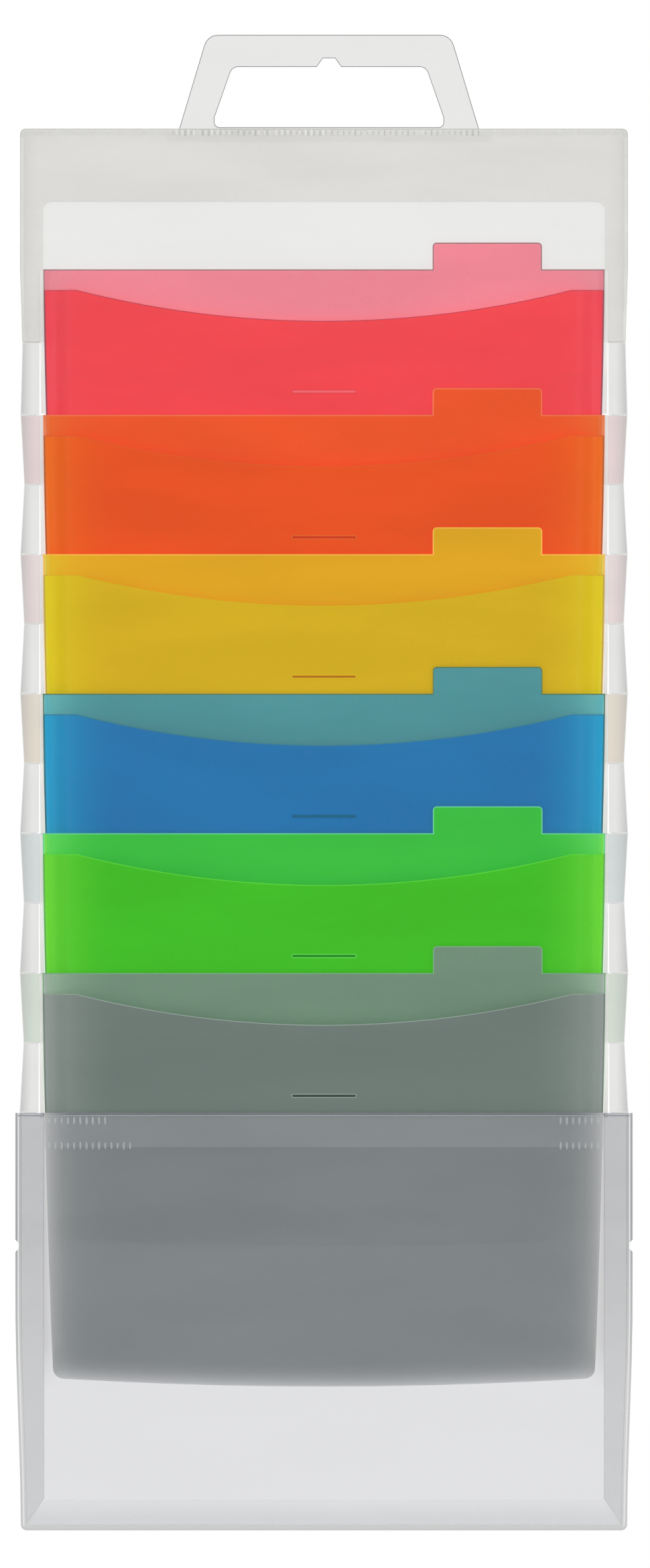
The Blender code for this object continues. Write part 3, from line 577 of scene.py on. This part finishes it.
across = add_node(
    front_tree, "ShaderNodeMapRange", to_side, size["Seam"], seam_end, 0, 1, interpolation_type="SMOOTHSTEP"
)
along = add_node(
    front_tree, "ShaderNodeMapRange", to_foot, size["Seam"], seam_end, 0, 1, interpolation_type="SMOOTHSTEP"
)
swell = add_node(front_tree, MATH, across, along, operation="MULTIPLY")
room = add_node(front_tree, MATH, size["Room"], size["Lay Gap"], operation="SUBTRACT")
depth = add_node(front_tree, MATH, room, swell, size["Lay Gap"], operation="MULTIPLY_ADD")
spot = add_node(front_tree, "ShaderNodeCombineXYZ", x, depth, drop)
spot = add_node(
    front_tree, "ShaderNodeVectorMath", spot, (1, -1, -1), size["Place"], operation="MULTIPLY_ADD"
)
rear_face = add_node(front_tree, "GeometryNodeSetPosition", store, None, spot)
# The sheet's thickness
turned = add_node(front_tree, "GeometryNodeFlipFaces", rear_face)
front_face = add_node(
    front_tree, "GeometryNodeExtrudeMesh", turned, None, (0, -1, 0), size["Thickness"], False
)
shell = add_node(front_tree, "GeometryNodeJoinGeometry", [front_face, rear_face])
shell = add_node(front_tree, "GeometryNodeMergeByDistance", shell, None, 1e-5)
# The slot, a rounded punch driven through the front sheet
outline = add_node(
    front_tree, "GeometryNodeCurvePrimitiveQuadrilateral", size["Slot Length"], size["Slot Height"]
)
end_radius = add_node(front_tree, MATH, size["Slot Height"], 0.45, operation="MULTIPLY")
outline = add_node(front_tree, "GeometryNodeFilletCurve", outline, 5, end_radius, True, mode="POLY")
blade = add_node(front_tree, "GeometryNodeFillCurve", outline, mode="NGONS")
blade = add_node(
    front_tree, "GeometryNodeStoreNamedAttribute", blade, None, "cut_edge", 1.0,
    data_type="FLOAT", domain="FACE",
)
blade_top = add_node(front_tree, "GeometryNodeExtrudeMesh", blade, None, (0, 0, 1), 0.004, False)
blade_foot = add_node(front_tree, "GeometryNodeFlipFaces", blade)
punch = add_node(front_tree, "GeometryNodeJoinGeometry", [blade_top, blade_foot])
punch = add_node(front_tree, "GeometryNodeMergeByDistance", punch, None, 1e-5)
punch_y = add_node(front_tree, MATH, size["Room"], -0.0015, operation="ADD")
punch_spot = add_node(front_tree, "ShaderNodeCombineXYZ", 0, punch_y, size["Slot Drop"])
punch_spot = add_node(
    front_tree, "ShaderNodeVectorMath", punch_spot, (1, -1, -1), size["Place"], operation="MULTIPLY_ADD"
)
punch = add_node(front_tree, "GeometryNodeTransform", punch, punch_spot, (math.pi / 2, 0, 0))
slotted = add_node(
    front_tree, "GeometryNodeMeshBoolean", shell, punch, operation="DIFFERENCE", solver="EXACT"
)
# The tongue that the punch leaves, flat behind the slot and a little larger. Its deep colour is
# painted shade in the slot.
tongue_length = add_node(front_tree, MATH, size["Slot Length"], size["Slot Height"], operation="ADD")
tongue_height = add_node(front_tree, MATH, size["Slot Height"], 1.6, operation="MULTIPLY")
shaded_tongue = add_node(front_tree, "GeometryNodeCurvePrimitiveQuadrilateral", tongue_length, tongue_height)
shaded_tongue = add_node(front_tree, "GeometryNodeFilletCurve", shaded_tongue, 5, end_radius, True, mode="POLY")
shaded_tongue = add_node(front_tree, "GeometryNodeFillCurve", shaded_tongue, mode="NGONS")
tongue_front = add_node(front_tree, "GeometryNodeExtrudeMesh", shaded_tongue, None, (0, 0, 1), 0.0003, False)
tongue_rear = add_node(front_tree, "GeometryNodeFlipFaces", shaded_tongue)
shaded_tongue = add_node(front_tree, "GeometryNodeJoinGeometry", [tongue_front, tongue_rear])
shaded_tongue = add_node(front_tree, "GeometryNodeMergeByDistance", shaded_tongue, None, 1e-5)
tongue_y = add_node(front_tree, MATH, size["Room"], -0.00045, operation="ADD")
tongue_spot = add_node(front_tree, "ShaderNodeCombineXYZ", 0, tongue_y, size["Slot Drop"])
tongue_spot = add_node(
    front_tree, "ShaderNodeVectorMath", tongue_spot, (1, -1, -1), size["Place"], operation="MULTIPLY_ADD"
)
shaded_tongue = add_node(front_tree, "GeometryNodeTransform", shaded_tongue, tongue_spot, (math.pi / 2, 0, 0))
shaded_tongue = add_node(front_tree, "GeometryNodeSetMaterial", shaded_tongue, None, size["Shaded Tongue"])
# The blade lifts a thin lip round the slot, coloured pale as a painted highlight
lip_section = add_node(front_tree, "GeometryNodeCurvePrimitiveCircle", 8, None, None, None, 0.0004)
lip_highlight = add_node(front_tree, "GeometryNodeCurveToMesh", outline, lip_section)
lip_y = add_node(front_tree, MATH, size["Room"], size["Thickness"], operation="ADD")
lip_spot = add_node(front_tree, "ShaderNodeCombineXYZ", 0, lip_y, size["Slot Drop"])
lip_spot = add_node(
    front_tree, "ShaderNodeVectorMath", lip_spot, (1, -1, -1), size["Place"], operation="MULTIPLY_ADD"
)
lip_highlight = add_node(front_tree, "GeometryNodeTransform", lip_highlight, lip_spot, (math.pi / 2, 0, 0), (1, 1, 0.2))
lip_highlight = add_node(front_tree, "GeometryNodeSetMaterial", lip_highlight, None, size["Lip Highlight"])
# Finishes: skin on the front, the clear skin behind, and the cut edge on rims and walls
whole = add_node(front_tree, "GeometryNodeRealizeInstances", slotted)
normal = add_node(front_tree, "GeometryNodeInputNormal")
facing = add_node(front_tree, "ShaderNodeSeparateXYZ", normal).node.outputs[1]
behind = add_node(front_tree, MATH, facing, 0.3, operation="GREATER_THAN")
wall = add_node(front_tree, MATH, facing, operation="ABSOLUTE")
wall = add_node(front_tree, MATH, wall, 0.3, operation="LESS_THAN")
stored = add_node(front_tree, "GeometryNodeInputNamedAttribute", "cut_edge", data_type="FLOAT")
mouth_edge = add_node(front_tree, MATH, stored, 0.5, operation="GREATER_THAN")
side_edge = add_node(front_tree, MATH, stored, 1.5, operation="GREATER_THAN")
side_edge = add_node(front_tree, MATH, side_edge, wall, operation="MAXIMUM")
whole = add_node(front_tree, "GeometryNodeSetMaterial", whole, None, size["Skin"])
whole = add_node(front_tree, "GeometryNodeSetMaterial", whole, behind, size["Rear Skin"])
whole = add_node(front_tree, "GeometryNodeSetMaterial", whole, mouth_edge, size["Mouth Edge"])
whole = add_node(front_tree, "GeometryNodeSetMaterial", whole, side_edge, size["Side Edge"])
whole = add_node(front_tree, "GeometryNodeJoinGeometry", [whole, shaded_tongue, lip_highlight])
add_node(front_tree, "NodeGroupOutput", whole)

SCOOP_HALF_WIDTH, SCOOP_DEPTH = 0.1474, 0.0184
scoop_radius = (SCOOP_HALF_WIDTH**2 + SCOOP_DEPTH**2) / (2 * SCOOP_DEPTH)
for stage, finishes in coloured.items():
    colour = POCKET_FINISHES[stage - 1][0]
    rear = FIRST_POCKET_REAR - (stage - 1) * STAGE_DEPTH - 0.0006
    piece = grow(f"{colour}_front_sheet", front_tree, {
        "Half Width": 0.1675, "Height": POCKET_HEIGHT, "Draw In": 0.0062, "Draw Power": POCKET_DRAW_POWER,
        "Bow": POCKET_BOW, "Foot Corner": 0.006, "Front Drop": 0.0124, "Inset": 0.0003,
        "Scoop Radius": scoop_radius, "Scoop Flat": scoop_radius - SCOOP_DEPTH,
        "Seam": 0.004, "Swell": 0.012, "Room": 0.0048, "Lay Gap": 0.0003, "Thickness": 0.0006,
        "Place": (MIDDLE, rear, PANEL_TOP - POCKET_TOPS[stage - 1]),
        "Slot Drop": 0.073, "Slot Length": 0.0384, "Slot Height": 0.002,
        "Rear Skin": rear_skin, **finishes,
    })
    piece.visible_shadow = False
    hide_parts(f"pocket_{stage}_front")
    add_piece(piece, "back" if stage == 1 else f"pocket_{stage}")


# The seam that holds front and back together leaves a narrow clear selvage outside each side edge. Its
# pale colour is a painted highlight along the edge.
SELVAGE_HALF_WIDTH = 0.1683
SELVAGE_DRAW_IN = 0.0031
selvage_highlight = sheet_finish("clear_seam_selvage", "fbfbf8", 0.55, roughness=0.3)
for stage, (colour, *_) in enumerate(POCKET_FINISHES, 1):
    runs = []
    for side in (-1, 1):
        drops = [0.0008 + 0.0142 * step for step in range(7)]
        draws = [SELVAGE_DRAW_IN * (drop / POCKET_HEIGHT) ** POCKET_DRAW_POWER for drop in drops]
        runs.append([(side * (SELVAGE_HALF_WIDTH - draw), drop) for draw, drop in zip(draws, drops)])
    path = run_path(f"{colour}_selvage", runs, 0, PANEL_TOP - POCKET_TOPS[stage - 1])
    depth = FIRST_POCKET_REAR - (stage - 1) * STAGE_DEPTH - 0.0003
    bead = grow(f"{colour}_selvage", bead_tree, {
        "Half Width": 0.0012, "Flatness": 0.1, "Depth": depth, "Finish": selvage_highlight,
    }, path)
    add_piece(bead, "back" if stage == 1 else f"pocket_{stage}")


# Side gussets: 0.5 mm frosted strip, folded accordion-like between the pockets and held by a weld
# behind each. Each panel is painted with shade, tinted a little by the colour that the pockets and cover
# cast on the strip, and its outer side is darker.
# Painted shade on each panel, tinted with the colour the pockets cast on it
GUSSET_SHADE_AND_CAST = {2: "dcb8b8", 3: "e0c4c4", 4: "d8c6a8", 5: "bccaca", 6: "b8ceb2"}
GUSSET_SIDES = {2: "8a7878", 3: "8a7c7c", 4: "8a8272", 5: "7c8484", 6: "7c8678"}
LINK_INNER, LINK_OUTER = 0.1698, 0.1810
FILM_WIDTH = LINK_OUTER - LINK_INNER - 0.0012
FILM_THICKNESS = 0.0001
SHEET_GAP = 0.0003
LINK_TURNS = (0, 0.1735, 0.1812, 1.3)

hinge_tree = new_tree("creased hinges", {
    "Width": "Float", "Thickness": "Float", "Gap": "Float", "Finish": "Material",
})
size = add_node(hinge_tree, "NodeGroupInput").node.outputs
film = add_node(hinge_tree, "ShaderNodeCombineXYZ", size["Width"], size["Thickness"], size["Gap"])
film = add_node(hinge_tree, "GeometryNodeMeshCube", film)
films = add_node(hinge_tree, "GeometryNodeInstanceOnPoints", size["Geometry"], None, film)
films = add_node(hinge_tree, "GeometryNodeRealizeInstances", films)
films = add_node(hinge_tree, "GeometryNodeSetMaterial", films, None, size["Finish"])
add_node(hinge_tree, "NodeGroupOutput", films)

crease_finish = sheet_finish("creased_hinge_film", "c8cac6", 0.45, roughness=0.3)
for stage in range(1, 7):
    link_finish = sheet_finish(f"frosted_gusset_link_{stage}", "d3d5cf", 0.5, "3c403c", LINK_TURNS)
    film_spots = []
    for side in ("left", "right"):
        node = f"gusset_link_{stage}_{side}"
        die_cut(node, f"fold_{stage}_{side}", link_finish, edge_highlight)
        low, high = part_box(node)
        for end, out in ((high.z, SHEET_GAP / 2), (low.z, -SHEET_GAP / 2)):
            verts = frame["nodes"][node].data.vertices
            rim = [vert.co for vert in verts if abs(vert.co.z - end) < SHEET_GAP]
            spot = sum(rim, low * 0) / len(rim)
            film_spots.append((spot.x, spot.y, end + out))
    film_mesh = bpy.data.meshes.new(f"crease_films_{stage}")
    film_mesh.from_pydata(film_spots, [], [])
    films = grow(f"crease_films_{stage}", hinge_tree, {
        "Width": FILM_WIDTH, "Thickness": FILM_THICKNESS, "Gap": SHEET_GAP, "Finish": crease_finish,
    }, film_mesh)
    add_piece(films, f"link_{stage}")
for stage, cast_shade in GUSSET_SHADE_AND_CAST.items():
    panel_finish = sheet_finish(f"frosted_gusset_panel_{stage}", cast_shade, 0.6, GUSSET_SIDES[stage], STRIP_TURNS)
    for side in ("left", "right"):
        node, name = f"pocket_{stage}_gusset_{side}", f"side_strip_{stage}_{side}"
        die_cut(node, name, panel_finish, edge_highlight)


# Front cover: 0.8 mm frosted sheet, its side and bottom edges rolled back and notched at the sides, on
# a mitred flange of gusset strip, with a hem strip behind its upper edge.
COVER_OPACITY = 0.35
FOOT_OPACITY = 0.17
SMOOTH = 0.00015
COVER_TURNS = (2, 0.69, 0.80, 1)
HAZE_START, HAZE_FULL = 0.1465, 0.1665
HAZE_END, HAZE_CLEAR = 0.1663, 0.1666
HAZE_FOOT, HAZE_FOOT_CLEAR = PANEL_TOP - 0.7232, PANEL_TOP - 0.752
HAZE_POWER = 2.2
HAZE_OPACITY = 0.5
FOOT_CREASE, FOOT_FULL = PANEL_TOP - 0.8150, PANEL_TOP - 0.8275

cover_finish = sheet_finish("frosted_polypropylene_cover", "a3a4ad", COVER_OPACITY, ripple=SMOOTH)
# Painted shade: the side flanges darken towards their top; the rolled side and rim draw dark lines
flange_finish = sheet_finish("frosted_flange_side", "b0b2b1", 0.5, "e5e6e4", COVER_TURNS, ripple=SMOOTH)
foot_finish = sheet_finish("frosted_flange_foot", "979b9a", FOOT_OPACITY, ripple=SMOOTH)
hem_finish = sheet_finish("frosted_hem_strip", "ccd4d8", 0.23, ripple=SMOOTH)
roll_finish = sheet_finish("rolled_cover_side", "8e9090", 0.7, "babcba", COVER_TURNS)
rim_finish = sheet_finish("rolled_cover_rim", "6f7372", 0.72, "bdbfbd", COVER_TURNS, roughness=0.3)
# A haze along the flanges, thinning out towards the middle, stands in for the blur in the photograph:
# painted light that pales the edges of the pocket behind the cover.
tree = cover_finish.node_tree
shader = tree.nodes["Principled BSDF"]
place = add_node(tree, "ShaderNodeTexCoord").node.outputs["Object"]
axes = add_node(tree, "ShaderNodeSeparateXYZ", place).node.outputs
off = add_node(tree, MATH, axes[0], -MIDDLE, operation="ADD")
off = add_node(tree, MATH, off, operation="ABSOLUTE")
haze = add_node(tree, "ShaderNodeMapRange", off, HAZE_START, HAZE_FULL, 0, 1)
haze = add_node(tree, MATH, haze, HAZE_POWER, operation="POWER")
inside = add_node(tree, "ShaderNodeMapRange", off, HAZE_CLEAR, HAZE_END, 0, 1)
haze = add_node(tree, MATH, haze, inside, operation="MULTIPLY")
above_foot = add_node(tree, "ShaderNodeMapRange", axes[2], HAZE_FOOT_CLEAR, HAZE_FOOT, 0, 1)
haze = add_node(tree, MATH, haze, above_foot, operation="MULTIPLY")
opacity = add_node(tree, MATH, haze, HAZE_OPACITY, COVER_OPACITY, operation="MULTIPLY_ADD")
tree.links.new(opacity, shader.inputs["Alpha"])
paleness = add_node(tree, MATH, haze, operation="SQRT")
pale = add_node(tree, "ShaderNodeMix", data_type="RGBA").node
tree.links.new(paleness, pale.inputs["Factor"])
tree.links.new(shader.inputs["Base Color"].links[0].from_socket, pale.inputs[6])
pale.inputs[7].default_value = linear("c4c4c4")
tree.links.new(pale.outputs[2], shader.inputs["Base Color"])
# In the photograph, the bottom flange only shows from its crease downwards
tree = foot_finish.node_tree
place = add_node(tree, "ShaderNodeTexCoord").node.outputs["Object"]
height = add_node(tree, "ShaderNodeSeparateXYZ", place).node.outputs[2]
shown = add_node(tree, "ShaderNodeMapRange", height, FOOT_CREASE, FOOT_FULL, 0, FOOT_OPACITY)
tree.links.new(shown, tree.nodes["Principled BSDF"].inputs["Alpha"])
for node, name, finish in (
    ("cover_gusset_left", "cover_flange_left", flange_finish),
    ("cover_gusset_right", "cover_flange_right", flange_finish),
    ("cover_gusset_bottom", "cover_flange_bottom", foot_finish),
    ("cover_hem", "cover_hem_strip", hem_finish),
):
    die_cut(node, name, finish, finish)

build = bmesh.new()
build.from_mesh(frame["nodes"]["front_cover"].data)
bmesh.ops.remove_doubles(build, verts=build.verts, dist=1e-6)
low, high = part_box("front_cover")
for face in build.faces:
    depth = face.calc_center_median().y - low.y
    if face.normal.y > 0.05:
        face.material_index = 1
    elif face.normal.y > -0.999 and face.normal.z < 0.95:
        # Painted shade: the rim darkest, the roll darker, a light ring of cover colour between them
        light_ring = depth > 0.0001 and abs(face.normal.x) > 0.2
        face.material_index = 3 if depth > 0.00035 else 0 if light_ring else 2
mesh = bpy.data.meshes.new("front_cover_sheet")
build.to_mesh(mesh)
build.free()
for finish in (cover_finish, rear_skin, roll_finish, rim_finish):
    mesh.materials.append(finish)
mesh.shade_smooth()
mesh.set_sharp_from_angle(angle=math.radians(40))
cover = bpy.data.objects.new("front_cover_sheet", mesh)
bpy.context.scene.collection.objects.link(cover)
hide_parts("front_cover")
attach(cover, "cover")

COVER_FRONT = -0.0458
# Painted shadow: a dark line along the cover's top edge. Painted highlight: the pale bead below it
cover_shadow_line = sheet_finish("painted_shadow_on_cover_top", "5c6463", 0.7, roughness=0.3)
cover_highlight_bead = sheet_finish("pressed_cover_top_bead", "c4ccce", 0.75, roughness=0.3)
for name, reach, drop, finish in (
    ("cover_top_edge", 0.1670, 0.0007, cover_shadow_line),
    ("cover_top_bead", 0.1826, 0.0016, cover_highlight_bead),
):
    path = run_path(name, [((-reach, drop), (reach, drop))], 0, COVER_TOP)
    bead = grow(name, bead_tree, {
        "Half Width": 0.00045, "Flatness": 0.5, "Depth": COVER_FRONT + 0.0002, "Finish": finish,
    }, path)
    add_piece(bead, "cover")

tick_finish = sheet_finish("hem_weld_pale", "e4ecee", 0.26, roughness=0.25)
for name, start_x, drop, count, seed in (
    ("hem_ticks_upper_left", -0.1634, 0.0046, 10, 1),
    ("hem_ticks_lower_left", -0.1634, 0.0195, 14, 2),
    ("hem_ticks_upper_right", 0.1407, 0.0046, 8, 5),
    ("hem_ticks_lower_right", 0.1407, 0.0195, 8, 6),
):
    start = (MIDDLE + start_x, COVER_FRONT, COVER_TOP - drop)
    ticks = grow(name, tick_tree, {
        "Count": count, "Pitch": 0.0037, "Start": start, "Width": 0.0016, "Length": 0.0054,
        "Rise": TICK_RISE, "Raggedness": 0.25, "Gaps": 0.0, "Seed": seed, "Finish": tick_finish,
    })
    add_piece(ticks, "cover")
